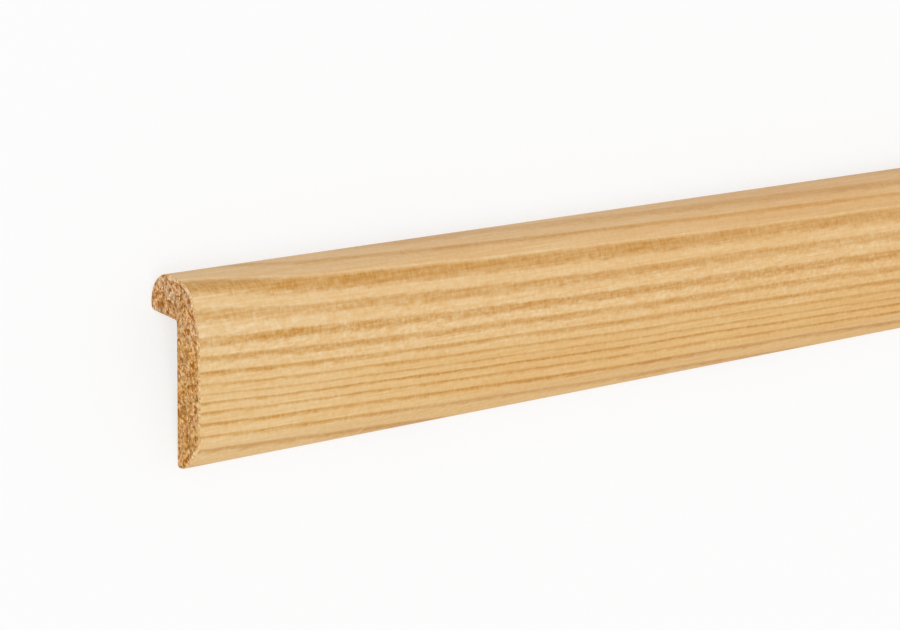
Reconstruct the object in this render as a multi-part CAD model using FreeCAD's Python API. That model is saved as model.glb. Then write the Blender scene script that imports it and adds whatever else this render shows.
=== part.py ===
import FreeCAD, Part
import math
import os

# A corner guard moulding run from one length of solid pine. Its section is an L: a broad leg
# that covers the side of a board, and a short hook that laps over the edge of the board.
# Lengths are in millimetres and angles in degrees.

STOCK_LENGTH = 2400.0

# The leg is flat on its back and carries the display face.
LEG_THICKNESS = 7.0

# The rebate is the inside corner: its height along the leg and its depth under the hook. The
# underside of the hook rises a little from the leg to the nose.
REBATE_HEIGHT = 25.5
HOOK_REACH = 8.0
HOOK_RISE = 0.4
INNER_FILLET = 0.5

# The head is the rounded mass above the rebate. Its back edge is flat between two rounds.
HEAD_THICKNESS = 7.0
NOSE_RADIUS = 1.0
BACK_FLAT = 0.5
SHOULDER_RADIUS = 3.0
SWELL_RADIUS = 21.0
CROWN_TURN = 27.0
SWELL_TURN = 28.0

# The toe is the lower edge of the leg, bevelled towards the back.
TOE_RADIUS = 0.6
HEEL_RADIUS = 4.4
BEVEL_BLEND = 3.0
BEVEL_ANGLE = 50.0


def polar(centre, radius, degrees):
    """The point at a distance and an angle from a centre, in the plane of the section."""
    angle = math.radians(degrees)
    return (centre[0] + radius * math.cos(angle), centre[1] + radius * math.sin(angle))


def place(point):
    """A point of the section, given as depth and height, in space at the near cut end."""
    depth, height = point
    return FreeCAD.Vector(-STOCK_LENGTH / 2, height, depth)


def line(start, end):
    return Part.LineSegment(place(start), place(end)).toShape()


def arc(centre, radius, start, end):
    """The arc about a centre from one angle to another."""
    middle = polar(centre, radius, (start + end) / 2)
    return Part.Arc(
        place(polar(centre, radius, start)), place(middle), place(polar(centre, radius, end))
    ).toShape()


# Section axes: depth grows from the leg's back towards the display face, height grows from the
# toe towards the crest.
crest_height = REBATE_HEIGHT + HOOK_RISE + HEAD_THICKNESS
leg_back = 0.0
leg_front = leg_back + LEG_THICKNESS
hook_back = leg_back - HOOK_REACH

# The underside of the hook is the straight line that touches the inner fillet and the nose round.
rise_angle = math.degrees(math.atan2(HOOK_RISE, HOOK_REACH))
rise = math.radians(rise_angle)
fillet_drop = INNER_FILLET * (1 - math.sin(rise)) / math.cos(rise)
fillet_centre = (leg_back - INNER_FILLET, REBATE_HEIGHT - fillet_drop)
nose_depth = hook_back + NOSE_RADIUS
nose_lift = (NOSE_RADIUS + (leg_back - nose_depth) * math.sin(rise)) / math.cos(rise)
nose_centre = (nose_depth, REBATE_HEIGHT + nose_lift)

# The back of the head is a quarter round that takes up what the nose and the flat leave.
back_radius = crest_height - nose_centre[1] - BACK_FLAT
back_centre = (hook_back + back_radius, crest_height - back_radius)

# From the crest to the display face the section runs through three tangent arcs: crown, shoulder
# and swell. Their turns add up to a quarter turn. The crown radius and the height where the swell
# leaves the flat face follow from the turns.
crest_depth = back_centre[0]
shoulder_depth = polar((leg_front - SWELL_RADIUS, 0.0), SWELL_RADIUS - SHOULDER_RADIUS, SWELL_TURN)[0]
crown_radius = SHOULDER_RADIUS + (shoulder_depth - crest_depth) / math.sin(math.radians(CROWN_TURN))
crown_centre = (crest_depth, crest_height - crown_radius)
shoulder_centre = polar(crown_centre, crown_radius - SHOULDER_RADIUS, 90 - CROWN_TURN)
swell_centre = polar(shoulder_centre, SWELL_RADIUS - SHOULDER_RADIUS, 180 + SWELL_TURN)

# The bevel is the straight line that touches the heel round and the blend into the display face.
bevel = math.radians(BEVEL_ANGLE)
toe_centre = (leg_back + TOE_RADIUS, TOE_RADIUS)
heel_centre = (toe_centre[0], HEEL_RADIUS)
blend_depth = leg_front - BEVEL_BLEND
blend_rise = (
    (blend_depth - heel_centre[0]) * math.sin(bevel) + BEVEL_BLEND - HEEL_RADIUS
) / math.cos(bevel)
blend_centre = (blend_depth, heel_centre[1] + blend_rise)

outline = Part.Wire([
    line((leg_back, toe_centre[1]), (leg_back, fillet_centre[1])),
    arc(fillet_centre, INNER_FILLET, 0, 90 - rise_angle),
    line(
        polar(fillet_centre, INNER_FILLET, 90 - rise_angle),
        polar(nose_centre, NOSE_RADIUS, 270 - rise_angle),
    ),
    arc(nose_centre, NOSE_RADIUS, 270 - rise_angle, 180),
    line((hook_back, nose_centre[1]), (hook_back, back_centre[1])),
    arc(back_centre, back_radius, 180, 90),
    arc(crown_centre, crown_radius, 90, 90 - CROWN_TURN),
    arc(shoulder_centre, SHOULDER_RADIUS, 90 - CROWN_TURN, SWELL_TURN),
    arc(swell_centre, SWELL_RADIUS, SWELL_TURN, 0),
    line((leg_front, swell_centre[1]), (leg_front, blend_centre[1])),
    arc(blend_centre, BEVEL_BLEND, 0, BEVEL_ANGLE - 90),
    line(
        polar(blend_centre, BEVEL_BLEND, BEVEL_ANGLE - 90),
        polar(heel_centre, HEEL_RADIUS, BEVEL_ANGLE - 90),
    ),
    arc(heel_centre, HEEL_RADIUS, BEVEL_ANGLE - 90, -90),
    arc(toe_centre, TOE_RADIUS, 270, 180),
])
moulding = Part.Face(outline).extrude(FreeCAD.Vector(STOCK_LENGTH, 0, 0))

# The moulding lies with its display face up, on its toe and on the nose of its hook. The line that
# touches both rounds from below is turned level and set down on the floor.
along = nose_centre[1] - toe_centre[1]
down = nose_centre[0] - toe_centre[0]
slope = math.atan2(down, along) + math.asin((TOE_RADIUS - NOSE_RADIUS) / math.hypot(along, down))
moulding.rotate(FreeCAD.Vector(0, 0, 0), FreeCAD.Vector(1, 0, 0), -math.degrees(slope))
box = moulding.optimalBoundingBox(False, False)
moulding.translate(FreeCAD.Vector(0, -(box.YMin + box.YMax) / 2, -box.ZMin))

os.makedirs("parts", exist_ok=True)
moulding.exportStep("parts/corner_guard_moulding.step")
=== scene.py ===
import math

import bmesh
import bpy
from mathutils import Euler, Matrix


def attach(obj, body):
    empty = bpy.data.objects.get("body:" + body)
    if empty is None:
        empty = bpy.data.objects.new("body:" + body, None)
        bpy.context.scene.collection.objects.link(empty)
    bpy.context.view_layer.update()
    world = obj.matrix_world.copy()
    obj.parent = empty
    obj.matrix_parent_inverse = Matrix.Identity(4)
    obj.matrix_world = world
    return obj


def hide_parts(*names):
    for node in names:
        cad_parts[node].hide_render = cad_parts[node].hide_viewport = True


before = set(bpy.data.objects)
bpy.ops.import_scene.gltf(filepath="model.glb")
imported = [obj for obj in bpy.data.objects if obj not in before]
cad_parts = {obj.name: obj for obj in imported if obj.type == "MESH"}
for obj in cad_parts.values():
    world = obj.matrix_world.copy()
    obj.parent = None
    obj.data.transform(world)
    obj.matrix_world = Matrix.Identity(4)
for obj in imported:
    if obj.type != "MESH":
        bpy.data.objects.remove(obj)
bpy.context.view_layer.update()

# The moulding: one length of solid pine, run through a four-sided moulder so that every long face is planed,
# then cross-cut with a circular saw. The saw leaves the end grain rough and crushes a thin ribbon of fibres
# along the arris of the display side. Sizes are in millimetres.
MM = 0.001
STOCK_LENGTH = 2400
ARRIS = 0.17
RIBBON = 0.78
TOE_GAP = 0.12
SAME_POINT = 0.001
FLAT_ANGLE = math.radians(0.1)
SQUARE_CUT = 0.999

# The fibres are crushed hardest at the crown, less at the bevel of the toe, and least along the flat face.
# The arris belongs to the crown or the bevel where it is tilted more than the flat. Only the arris facing up
# is marked, because its pale ribbon is crushed fibre and partly a painted highlight where the arris catches
# the light.
UP_FACING = 0.1
FLAT_TILT = 0.35
CROWN_CRUSH_AND_HIGHLIGHT = 2.8
BEVEL_CRUSH_AND_HIGHLIGHT = 1.7
FLAT_CRUSH_AND_HIGHLIGHT = 1

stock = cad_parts["corner_guard_moulding"].data
shape = bmesh.new()
shape.from_mesh(stock)
crush_and_highlight = shape.verts.layers.float.new("crush_and_highlight")
girth = shape.verts.layers.float.new("girth")
bmesh.ops.remove_doubles(shape, verts=shape.verts, dist=SAME_POINT * MM)
bmesh.ops.dissolve_limit(shape, angle_limit=FLAT_ANGLE, verts=shape.verts, edges=shape.edges)

# Girth is the way round the section from one corner of the near end, the same all along each long edge.
near_end = next(face for face in shape.faces if face.normal.x < -SQUARE_CUT)
whole_girth = 0
for loop in near_end.loops:
    long_edge = next(edge for edge in loop.vert.link_edges if edge not in near_end.edges)
    for vert in long_edge.verts:
        vert[girth] = whole_girth
    whole_girth += loop.edge.calc_length() / MM

end_edges = [edge for edge in shape.edges if abs(edge.verts[0].co.x - edge.verts[1].co.x) < SAME_POINT * MM]
arris = bmesh.ops.bevel(
    shape, geom=end_edges, offset=ARRIS * MM, affect="EDGES", segments=2, profile=0.5, material=-1
)["faces"]
for face in arris:
    # Only the arris facing up is marked: its pale ribbon is partly a painted highlight.
    if face.normal.z > UP_FACING:
        if face.normal.y > FLAT_TILT:
            crush_and_highlight_level = CROWN_CRUSH_AND_HIGHLIGHT
        elif face.normal.y < -FLAT_TILT:
            crush_and_highlight_level = BEVEL_CRUSH_AND_HIGHLIGHT
        else:
            crush_and_highlight_level = FLAT_CRUSH_AND_HIGHLIGHT
        for vert in face.verts:
            vert[crush_and_highlight] = max(vert[crush_and_highlight], crush_and_highlight_level)
for face in shape.faces:
    face.smooth = True

# The ribbon is inset in two steps, because the toe's round is tighter than the ribbon is wide: after the
# first step what is left of that round closes to one point.
for share_left in (0.5, 0):
    ends = [face for face in shape.faces if abs(face.normal.x) > SQUARE_CUT and len(face.verts) > 4]
    bmesh.ops.inset_region(shape, faces=ends, thickness=RIBBON / 2 * MM, use_even_offset=True)
    inner = list(dict.fromkeys(vert for face in ends for vert in face.verts))
    for vert in inner:
        vert[crush_and_highlight] *= share_left
    bmesh.ops.remove_doubles(shape, verts=inner, dist=TOE_GAP * MM)
for face in shape.faces:
    if abs(face.calc_center_median().x) > (STOCK_LENGTH / 2 - ARRIS) * MM:
        face.smooth = False
        face.material_index = 1

# The map that the grain is painted on is square. The planed faces are unrolled on it in five runs, one above
# the other, and the two ends lie above them at twice the scale.
RUNS = 5
RUN_PITCH = 97
RUN_LENGTH = STOCK_LENGTH / RUNS
SHEET = 516
END_SCALE = 2
END_PITCH = 80
END_MIDDLE = 40
END_FOOT = RUNS * RUN_PITCH + 1
for run in range(1, RUNS):
    bmesh.ops.bisect_plane(
        shape, geom=shape.verts[:] + shape.edges[:] + shape.faces[:],
        plane_co=((run * RUN_LENGTH - STOCK_LENGTH / 2) * MM, 0, 0), plane_no=(1, 0, 0),
    )
sheet = shape.loops.layers.uv.new("OFBake")
for face in shape.faces:
    along = face.calc_center_median().x / MM + STOCK_LENGTH / 2
    far = along > STOCK_LENGTH / 2
    run = int(along / RUN_LENGTH)
    rounds = [vert[girth] for vert in face.verts]
    last = whole_girth if max(rounds) - min(rounds) > whole_girth / 2 else 0
    for loop in face.loops:
        x, y, z = loop.vert.co / MM
        if face.material_index == 1:
            u = END_MIDDLE + END_PITCH * far + END_SCALE * (y if far else -y)
            v = END_FOOT + END_SCALE * z
        else:
            u = x + STOCK_LENGTH / 2 - run * RUN_LENGTH
            v = run * RUN_PITCH + (loop.vert[girth] or last)
        loop[sheet].uv = (u / SHEET, v / SHEET)
shape.verts.layers.float.remove(girth)

moulding_mesh = bpy.data.meshes.new("corner_guard_moulding")
shape.to_mesh(moulding_mesh)
shape.free()
moulding = bpy.data.objects.new("pine_moulding", moulding_mesh)
bpy.context.scene.collection.objects.link(moulding)
flats = moulding.modifiers.new("planed flats stay flat", "WEIGHTED_NORMAL")
flats.keep_sharp = True


def linear(hex_colour):
    """An sRGB hex colour as linear red, green, blue and alpha."""
    channels = [int(hex_colour[i:i + 2], 16) / 255 for i in (1, 3, 5)]
    return [c / 12.92 if c <= 0.04045 else ((c + 0.055) / 1.055) ** 2.4 for c in channels] + [1]


def add(tree, kind, settings, inputs):
    """Adds a node, sets its settings, and sets or links its inputs."""
    node = tree.nodes.new(kind)
    for name, value in settings.items():
        setattr(node, name, value)
    for name, value in inputs.items():
        if isinstance(value, bpy.types.NodeSocket):
            tree.links.new(value, node.inputs[name])
        else:
            node.inputs[name].default_value = value
    return node


def weighted_sum(tree, start, terms):
    """A start, plus each term's socket times its weight."""
    total = start
    for socket, weight in terms:
        total = add(tree, "ShaderNodeMath", {"operation": "MULTIPLY_ADD"}, {
            0: socket, 1: weight, 2: total,
        }).outputs[0]
    return total


# The growth rings run through the whole stock. The tree's pith lies off the toe, level with the display face,
# so the leg is close to quarter-sawn. The stem sweeps and snakes, so the rings wander over the face along it.
PITH_Y = -101
PITH_Z = 12
SWEEP = 6.6
SWEEP_LENGTH = 1100
SNAKE = 0.35
SNAKE_LENGTH = 220

# Over the near end the outer rings bend towards the crown, fully so outside the second radius.
BEND = -1.5
BEND_LENGTH = 28
BEND_INSIDE = 106
BEND_OUTSIDE = 113

# Each ring swings a little and has a ragged edge. Sizes are along, across and through the stock.
SWING = 0.8
SWING_SIZE = (45, 12, 12)
RAGGED = 0.25
RAGGED_SIZE = (3, 0.6, 0.6)

# How many rings lie within a radius of the pith: lean years in the middle of the face, wide rings outside.
RINGS_GROWN = (
    (78.5, 0), (87.9, 4), (93.9, 7), (98.3, 10), (103, 12), (110, 14), (114.7, 15), (116.4, 15.3),
    (117.6, 16), (128, 19),
)
RING_COUNT = RINGS_GROWN[-1][1]


def growth_rings(tree):
    """Place in the stock in millimetres from the pith, ring phase from 0 to 1 outwards, and ring number."""
    place = add(tree, "ShaderNodeMapping", {}, {
        "Vector": add(tree, "ShaderNodeTexCoord", {}, {}).outputs["Object"],
        "Location": (STOCK_LENGTH / 2, -PITH_Y, -PITH_Z),
        "Scale": (1 / MM, 1 / MM, 1 / MM),
    }).outputs[0]
    along = add(tree, "ShaderNodeSeparateXYZ", {}, {0: place}).outputs["X"]
    across = add(tree, "ShaderNodeVectorMath", {"operation": "MULTIPLY"}, {0: place, 1: (0, 1, 1)}).outputs[0]
    radius = add(tree, "ShaderNodeVectorMath", {"operation": "LENGTH"}, {0: across}).outputs["Value"]
    for height, length in ((SWEEP, SWEEP_LENGTH), (SNAKE, SNAKE_LENGTH)):
        turn = add(tree, "ShaderNodeMath", {"operation": "MULTIPLY"}, {0: along, 1: 2 * math.pi / length})
        wave = add(tree, "ShaderNodeMath", {"operation": "SINE"}, {0: turn.outputs[0]}).outputs[0]
        radius = weighted_sum(tree, radius, ((wave, height),))
    bend = add(tree, "ShaderNodeMapRange", {"interpolation_type": "SMOOTHSTEP"}, {
        "Value": along, "From Min": 0, "From Max": BEND_LENGTH, "To Min": BEND, "To Max": 0,
    }).outputs[0]
    outside = add(tree, "ShaderNodeMapRange", {}, {
        "Value": radius, "From Min": BEND_INSIDE, "From Max": BEND_OUTSIDE,
    }).outputs[0]
    radius = weighted_sum(tree, radius, ((bend, outside),))
    for size, height, fineness in (
        (SWING_SIZE, SWING, {"Detail": 2}),
        (RAGGED_SIZE, RAGGED, {"Detail": 3, "Roughness": 0.65}),
    ):
        steps = add(tree, "ShaderNodeVectorMath", {"operation": "DIVIDE"}, {0: place, 1: size}).outputs[0]
        noise = add(tree, "ShaderNodeTexNoise", {}, {"Vector": steps, "Scale": 1} | fineness).outputs[0]
        offset = add(tree, "ShaderNodeMath", {"operation": "SUBTRACT"}, {0: noise, 1: 0.5}).outputs[0]
        radius = weighted_sum(tree, radius, ((offset, height),))

    first, last = RINGS_GROWN[0][0], RINGS_GROWN[-1][0]
    share = add(tree, "ShaderNodeMapRange", {}, {"Value": radius, "From Min": first, "From Max": last})
    growth = add(tree, "ShaderNodeFloatCurve", {}, {"Value": share.outputs[0]})
    for ring_radius, count in RINGS_GROWN[1:-1]:
        growth.mapping.curves[0].points.new((ring_radius - first) / (last - first), count / RING_COUNT)
    growth.mapping.update()
    rings = add(tree, "ShaderNodeMath", {"operation": "MULTIPLY"}, {0: growth.outputs[0], 1: RING_COUNT})
    phase = add(tree, "ShaderNodeMath", {"operation": "FRACT"}, {0: rings.outputs[0]}).outputs[0]
    ring = add(tree, "ShaderNodeMath", {"operation": "FLOOR"}, {0: rings.outputs[0]}).outputs[0]
    return place, phase, ring


# Planed pine: pale earlywood that shades into an orange latewood line each year, drawn along the length by
# the fibre. Wide-ringed wood is soft, so the knives leave it woolly. They also give it a soft sheen.
NARROW_RING = 9
WIDE_RING = 12
CLEAN_RING = 12
CLEANEST_RING = 15
RING_SEED = 4984591
EARLYWOOD = ((9, "#e5bf86"), (12, "#e9c692"), (14, "#e9c692"), (15, "#e2bc89"), (16, "#e4bf8e"))
LATEWOOD = "#cb974d"
# Length of a painted light falloff: a slow wave of shade along the stock.
FALLOFF_LENGTH = 900
planed = bpy.data.materials.new("planed pine")
planed.use_nodes = True
tree = planed.node_tree
place, phase, ring = growth_rings(tree)

# Sizes are in millimetres along, across and through the stock. Single fibres are too fine to show, so the
# streaks stand for bundles of them, drawn about ten times as coarse.
grain = {}
for name, size, detail in (
    ("ragged", (3, 0.9, 0.9), 3),
    ("patch", (16, 3, 3), 2),
    ("hatch", (0.45, 1.6, 0.9), 1),
    ("wool", (0.8, 0.8, 0.8), 3),
    ("fleck", (2.6, 0.7, 0.7), 2),
    ("streak", (18, 0.35, 0.35), 3),
    ("cloud", (60, 8, 8), 2),
):
    steps = add(tree, "ShaderNodeVectorMath", {"operation": "DIVIDE"}, {0: place, 1: size}).outputs[0]
    noise = add(tree, "ShaderNodeTexNoise", {}, {
        "Vector": steps, "Scale": 1, "Detail": detail, "Roughness": 0.6,
    }).outputs[0]
    grain[name] = add(tree, "ShaderNodeMath", {"operation": "SUBTRACT"}, {0: noise, 1: 0.5}).outputs[0]
# Painted shade: a slow wave along the stock darkens the wood away from the near end and pales it again,
# standing in for light that falls off along the stock.
along = add(tree, "ShaderNodeSeparateXYZ", {}, {0: place}).outputs["X"]
turn = add(tree, "ShaderNodeMath", {"operation": "MULTIPLY"}, {0: along, 1: 2 * math.pi / FALLOFF_LENGTH})
grain["painted_falloff"] = add(tree, "ShaderNodeMath", {"operation": "SINE"}, {0: turn.outputs[0]}).outputs[0]

# Each year has its own share and depth of latewood. It sets in slowly, with a ragged front, and stops
# sharply. It is patchy, hatched by the knives, and fainter where the painted light falloff darkens the wood.
LATEWOOD_BEGINS = 0.55
SOONER_IN_WIDE = 0.2
SOONER_BY_CHANCE = 0.1
NARROW_FRAY = 0.6
WIDE_FRAY = 0.5
LATEWOOD_RISE = 0.36
LATEWOOD_STOPS = 0.82
FAINTEST_YEAR = 0.42
NARROW_STRENGTH = 1.1
WIDE_STRENGTH = 0.85
year = add(tree, "ShaderNodeMath", {"operation": "ADD"}, {0: ring, 1: RING_SEED}).outputs[0]
chance = add(tree, "ShaderNodeTexWhiteNoise", {"noise_dimensions": "1D"}, {"W": year}).outputs["Value"]
wide = add(tree, "ShaderNodeMapRange", {}, {
    "Value": ring, "From Min": NARROW_RING, "From Max": WIDE_RING,
}).outputs[0]
clean = add(tree, "ShaderNodeMapRange", {}, {
    "Value": ring, "From Min": CLEAN_RING, "From Max": CLEANEST_RING,
}).outputs[0]
fray = add(tree, "ShaderNodeMapRange", {}, {
    "Value": wide, "To Min": NARROW_FRAY, "To Max": WIDE_FRAY,
}).outputs[0]
begin = weighted_sum(tree, LATEWOOD_BEGINS, (
    (wide, -SOONER_IN_WIDE), (chance, -SOONER_BY_CHANCE), (grain["ragged"], fray),
))
settled = add(tree, "ShaderNodeMath", {"operation": "ADD"}, {0: begin, 1: LATEWOOD_RISE}).outputs[0]
latewood = add(tree, "ShaderNodeMapRange", {"interpolation_type": "SMOOTHSTEP"}, {
    "Value": phase, "From Min": begin, "From Max": settled,
}).outputs[0]
stop = add(tree, "ShaderNodeMapRange", {"interpolation_type": "SMOOTHSTEP"}, {
    "Value": phase, "From Min": LATEWOOD_STOPS, "From Max": 1, "To Min": 1, "To Max": 0,
}).outputs[0]
strength = add(tree, "ShaderNodeMapRange", {}, {"Value": chance, "To Min": FAINTEST_YEAR, "To Max": 1})
soft = add(tree, "ShaderNodeMapRange", {}, {
    "Value": wide, "To Min": NARROW_STRENGTH, "To Max": WIDE_STRENGTH,
})
factors = [stop, strength.outputs[0], soft.outputs[0]]
for name, contrast in (("patch", 1.3), ("hatch", 1), ("painted_falloff", -0.3)):
    factors.append(weighted_sum(tree, 1, ((grain[name], contrast),)))
for factor in factors:
    latewood = add(tree, "ShaderNodeMath", {"operation": "MULTIPLY"}, {0: latewood, 1: factor}).outputs[0]
age = add(tree, "ShaderNodeMapRange", {}, {"Value": ring, "From Max": RING_COUNT}).outputs[0]
earlywood = add(tree, "ShaderNodeValToRGB", {}, {"Fac": age})
stops = earlywood.color_ramp.elements
for element, (number, colour) in zip(stops, (EARLYWOOD[0], EARLYWOOD[-1])):
    element.position = number / RING_COUNT
    element.color = linear(colour)
for number, colour in EARLYWOOD[1:-1]:
    stops.new(number / RING_COUNT).color = linear(colour)
wood = add(tree, "ShaderNodeMix", {"data_type": "RGBA"}, {
    "Factor": latewood, 6: earlywood.outputs["Color"], 7: linear(LATEWOOD),
}).outputs[2]

# Denser fibre is deeper in colour, so each texture raises the colour to a power around 1; the slow wave along
# the stock does so as painted shade. Wide-ringed wood is woollier and more flecked, but the outermost rings
# are cut clean.
EARLYWOOD_ROUGHNESS = 0.6
LATEWOOD_ROUGHNESS = 0.45
woolly = weighted_sum(tree, 0.6, ((wide, 0.5), (clean, -0.7)))
flecked = weighted_sum(tree, 0.1, ((wide, 0.8), (clean, -0.7)))
depth = weighted_sum(tree, 1, (
    (grain["wool"], woolly), (grain["fleck"], flecked), (grain["streak"], 0.7), (grain["cloud"], 0.3),
    (grain["painted_falloff"], 0.22),
))
wood = add(tree, "ShaderNodeGamma", {}, {"Color": wood, "Gamma": depth}).outputs[0]
shader = tree.nodes["Principled BSDF"]
tree.links.new(wood, shader.inputs["Base Color"])
sheen = add(tree, "ShaderNodeMapRange", {}, {
    "Value": latewood, "To Min": EARLYWOOD_ROUGHNESS, "To Max": LATEWOOD_ROUGHNESS,
}).outputs[0]
tree.links.new(sheen, shader.inputs["Roughness"])
shader.inputs["Specular IOR Level"].default_value = 0.3
relief = add(tree, "ShaderNodeBump", {}, {"Height": depth, "Strength": 0.3, "Distance": 0.1 * MM})
tree.links.new(relief.outputs[0], shader.inputs["Normal"])

# Sawn end grain: open fibre ends drink the light, so it is a browner orange. The saw tears it into small dark
# pits and pale tufts that hide the rings, and resin stains it in patches. Single fibres are too fine to show,
# so the specks are drawn about ten times as coarse, and scattered so that they keep no regular edge.
CLOSE_RING = 12
OPEN_RING = 14
SCATTER = 0.5
SCATTERS_PER_MM = 4
SPECK_SHARE = 0.55
DARKEST_TUFT = 0.57
PALEST_TUFT = 1.1
STAIN_THIN = 0.35
STAIN_FULL = 0.65
PIT_BOTTOM = 0.32
PIT_EDGE = 0.42
DARK_FIBRE = "#9a6204"
PALE_TUFT = "#ffdaa4"
GREY_TUFT = "#ffe6d2"
GREY_STAIN = "#fbfbf0"
RESIN_STAIN = "#fee5be"
SHADED_PIT = "#7c4814"
sawn = bpy.data.materials.new("sawn pine end grain")
sawn.use_nodes = True
tree = sawn.node_tree
place, _, ring = growth_rings(tree)
wide = add(tree, "ShaderNodeMapRange", {}, {
    "Value": ring, "From Min": CLOSE_RING, "From Max": OPEN_RING,
}).outputs[0]
scatter = add(tree, "ShaderNodeTexNoise", {}, {"Vector": place, "Scale": SCATTERS_PER_MM, "Detail": 2})
scattered = add(tree, "ShaderNodeVectorMath", {"operation": "MULTIPLY_ADD"}, {
    0: scatter.outputs["Color"], 1: (SCATTER, SCATTER, SCATTER), 2: place,
}).outputs[0]
torn = {}
for name, kind, size, fineness in (
    ("speck", "ShaderNodeTexVoronoi", 0.4, {}),
    ("tuft", "ShaderNodeTexNoise", 0.9, {"Detail": 4, "Roughness": 0.65}),
    ("pit", "ShaderNodeTexNoise", 0.6, {"Detail": 3, "Roughness": 0.65}),
    ("stain", "ShaderNodeTexNoise", 3, {"Detail": 2}),
    ("rust", "ShaderNodeTexNoise", 1.8, {"Detail": 2}),
    ("tear", "ShaderNodeTexNoise", 3.5, {"Detail": 3}),
):
    steps = add(tree, "ShaderNodeVectorMath", {"operation": "DIVIDE"}, {
        0: scattered, 1: (size, size, size),
    }).outputs[0]
    torn[name] = add(tree, kind, {}, {"Vector": steps, "Scale": 1} | fineness).outputs["Color"]
speckled = weighted_sum(tree, torn["tuft"], ((torn["speck"], SPECK_SHARE),))
tuft = add(tree, "ShaderNodeMapRange", {}, {
    "Value": speckled, "From Min": DARKEST_TUFT, "From Max": PALEST_TUFT,
}).outputs[0]
grey = add(tree, "ShaderNodeMapRange", {}, {
    "Value": torn["stain"], "From Min": STAIN_THIN, "From Max": STAIN_FULL, "To Min": -0.2, "To Max": 0.6,
}).outputs[0]
pale_tuft = add(tree, "ShaderNodeMix", {"data_type": "RGBA"}, {
    "Factor": weighted_sum(tree, grey, ((wide, 0.5),)), 6: linear(PALE_TUFT), 7: linear(GREY_TUFT),
}).outputs[2]
wood = add(tree, "ShaderNodeMix", {"data_type": "RGBA"}, {
    "Factor": tuft, 6: linear(DARK_FIBRE), 7: pale_tuft,
}).outputs[2]
rusty = add(tree, "ShaderNodeMapRange", {}, {
    "Value": torn["rust"], "From Min": STAIN_THIN, "From Max": STAIN_FULL,
}).outputs[0]
stained = add(tree, "ShaderNodeMix", {"data_type": "RGBA"}, {
    "Factor": rusty, 6: linear(GREY_STAIN), 7: linear(RESIN_STAIN),
}).outputs[2]
wood = add(tree, "ShaderNodeMix", {"data_type": "RGBA", "blend_type": "MULTIPLY"}, {
    "Factor": 1, 6: wood, 7: stained,
}).outputs[2]
# The pits are torn fibre, and their dark colour is also painted shade in the hollows.
hole = add(tree, "ShaderNodeMapRange", {"interpolation_type": "SMOOTHSTEP"}, {
    "Value": torn["pit"], "From Min": PIT_BOTTOM, "From Max": PIT_EDGE, "To Min": 1, "To Max": 0,
}).outputs[0]
wood = add(tree, "ShaderNodeMix", {"data_type": "RGBA"}, {"Factor": hole, 6: wood, 7: linear(SHADED_PIT)}).outputs[2]

# Crushed fibres make the ribbon pale, with a ragged inner edge; the paleness is partly a painted highlight
# where the arris catches the light. Behind it runs a dark line of painted shadow, as if the raised ribbon
# cast a thin shadow on the end grain. The painted shadow is deepest in the wide rings of the head.
BURR_SHADOW_BEGINS = 0.05
BURR_SHADOW_FULL = 0.25
LEG_BURR_SHADOW = 0.15
HEAD_BURR_SHADOW = 0.75
PALE_BEGINS = 1.12
PALE_FULL = 1.57
BURR_SHADOW = "#8f5b28"
BRUISE_AND_HIGHLIGHT_DARK = "#c6955a"
LEG_BRUISE_AND_HIGHLIGHT = "#ffe0a9"
HEAD_BRUISE_AND_HIGHLIGHT = "#ffdfb8"
near_arris = add(tree, "ShaderNodeAttribute", {"attribute_name": "crush_and_highlight"}, {}).outputs["Fac"]
# Painted shadow: a dark line just inside the ribbon, as if cast by the raised burr.
burr_shadow_depth = add(tree, "ShaderNodeMapRange", {}, {
    "Value": wide, "To Min": LEG_BURR_SHADOW, "To Max": HEAD_BURR_SHADOW,
}).outputs[0]
burr_shadow = add(tree, "ShaderNodeMapRange", {"interpolation_type": "SMOOTHSTEP"}, {
    "Value": near_arris, "From Min": BURR_SHADOW_BEGINS, "From Max": BURR_SHADOW_FULL, "To Max": burr_shadow_depth,
}).outputs[0]
wood = add(tree, "ShaderNodeMix", {"data_type": "RGBA"}, {
    "Factor": burr_shadow, 6: wood, 7: linear(BURR_SHADOW),
}).outputs[2]
edge = weighted_sum(tree, near_arris, ((torn["tear"], 0.9), (torn["tuft"], 0.5), (torn["speck"], 0.25)))
pale = add(tree, "ShaderNodeMapRange", {"interpolation_type": "SMOOTHSTEP"}, {
    "Value": edge, "From Min": PALE_BEGINS, "From Max": PALE_FULL,
}).outputs[0]
# The ribbon's pale colour: crushed fibre, and partly a painted highlight where the up-facing arris catches
# the light.
pale_bruise_and_highlight = add(tree, "ShaderNodeMix", {"data_type": "RGBA"}, {
    "Factor": wide, 6: linear(LEG_BRUISE_AND_HIGHLIGHT), 7: linear(HEAD_BRUISE_AND_HIGHLIGHT),
}).outputs[2]
bruise_and_highlight = add(tree, "ShaderNodeMix", {"data_type": "RGBA"}, {
    "Factor": tuft, 6: linear(BRUISE_AND_HIGHLIGHT_DARK), 7: pale_bruise_and_highlight,
}).outputs[2]
wood = add(tree, "ShaderNodeMix", {"data_type": "RGBA"}, {"Factor": pale, 6: wood, 7: bruise_and_highlight}).outputs[2]
shader = tree.nodes["Principled BSDF"]
tree.links.new(wood, shader.inputs["Base Color"])
shader.inputs["Roughness"].default_value = 0.85
shader.inputs["Specular IOR Level"].default_value = 0.05
relief = add(tree, "ShaderNodeBump", {}, {"Height": torn["pit"], "Strength": 0.5, "Distance": 0.2 * MM})
tree.links.new(relief.outputs[0], shader.inputs["Normal"])

for material in (planed, sawn):
    moulding_mesh.materials.append(material)
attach(moulding, "root")
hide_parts("corner_guard_moulding")

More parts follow.
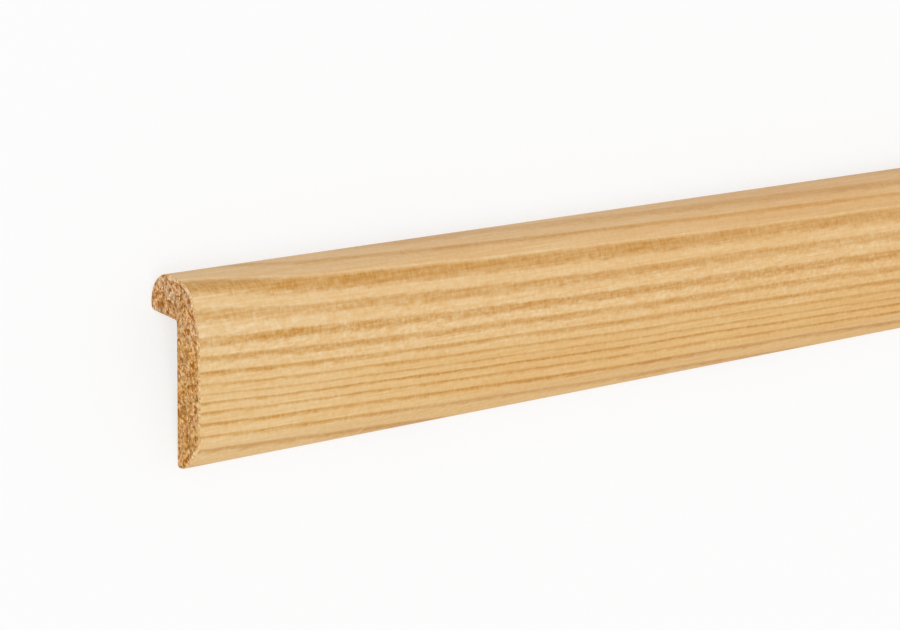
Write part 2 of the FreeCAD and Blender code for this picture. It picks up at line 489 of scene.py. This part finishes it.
# The floor: a plain pale studio floor, painted matt white, that runs well past the stock. What shows of it is
# lifted most of the way to white, so that the stock's shadow stays.
FLOOR_REACH = 6
FLOOR_LIFT = 0.7
floor_shape = bmesh.new()
bmesh.ops.create_grid(floor_shape, x_segments=1, y_segments=1, size=FLOOR_REACH)
floor_mesh = bpy.data.meshes.new("floor")
floor_shape.to_mesh(floor_mesh)
floor_shape.free()
floor = bpy.data.objects.new("floor", floor_mesh)
bpy.context.scene.collection.objects.link(floor)


def background_ray(tree):
    """1 on rays that show the background, straight from the camera or by a mirror or glass, or else 0."""
    rays = add(tree, "ShaderNodeLightPath", {}, {})
    shown = rays.outputs["Is Camera Ray"]
    for name in ("Is Glossy Ray", "Is Transmission Ray"):
        shown = add(tree, "ShaderNodeMath", {"operation": "MAXIMUM"}, {
            0: shown, 1: rays.outputs[name],
        }).outputs[0]
    return shown


floor_paint = bpy.data.materials.new("matt white floor paint")
floor_paint.use_nodes = True
tree = floor_paint.node_tree
shader = tree.nodes["Principled BSDF"]
shader.inputs["Base Color"].default_value = linear("#f8f8f8")
shader.inputs["Roughness"].default_value = 1
shader.inputs["Specular IOR Level"].default_value = 0
lift = add(tree, "ShaderNodeMath", {"operation": "MULTIPLY"}, {
    0: background_ray(tree), 1: FLOOR_LIFT,
}).outputs[0]
glow = add(tree, "ShaderNodeEmission", {}, {"Color": linear("#ffffff"), "Strength": 1}).outputs[0]
lifted = add(tree, "ShaderNodeMixShader", {}, {0: lift, 1: shader.outputs[0], 2: glow}).outputs[0]
tree.links.new(lifted, tree.nodes["Material Output"].inputs["Surface"])
floor_mesh.materials.append(floor_paint)

# The light: an even white room, and one broad lamp high over the near end and a little to the toe side. The
# room is plain white where it shows.
ROOM_LIGHT = 0.68
room = bpy.data.worlds.new("white room")
room.use_nodes = True
tree = room.node_tree
level = add(tree, "ShaderNodeMapRange", {}, {
    "Value": background_ray(tree), "To Min": ROOM_LIGHT, "To Max": 1,
}).outputs[0]
tree.nodes["Background"].inputs["Color"].default_value = linear("#ffffff")
tree.links.new(level, tree.nodes["Background"].inputs["Strength"])
bpy.context.scene.world = room
lamp = bpy.data.lights.new("broad lamp", "SUN")
lamp.angle = math.radians(40)
lamp.energy = 1.1
lamp_object = bpy.data.objects.new("broad lamp", lamp)
lamp_object.rotation_euler = (math.radians(7), math.radians(-26.5), 0)
bpy.context.scene.collection.objects.link(lamp_object)

# The camera: a long lens behind and above the near end. It looks down along the stock, and is turned on its
# axis so that the leg stands upright in the picture.
camera_data = bpy.data.cameras.new("camera")
camera_data.sensor_width = 36
camera_data.lens = 106.594
camera_data.clip_start = 0.01
camera = bpy.data.objects.new("camera", camera_data)
camera.location = (-1.43022, 0.004387, 0.38968)
camera.rotation_euler = Euler([math.radians(angle) for angle in (6.6027, -36.3397, -11.5761)], "XYZ")
bpy.context.scene.collection.objects.link(camera)
bpy.context.scene.camera = camera
bpy.context.scene.view_settings.view_transform = "Standard"
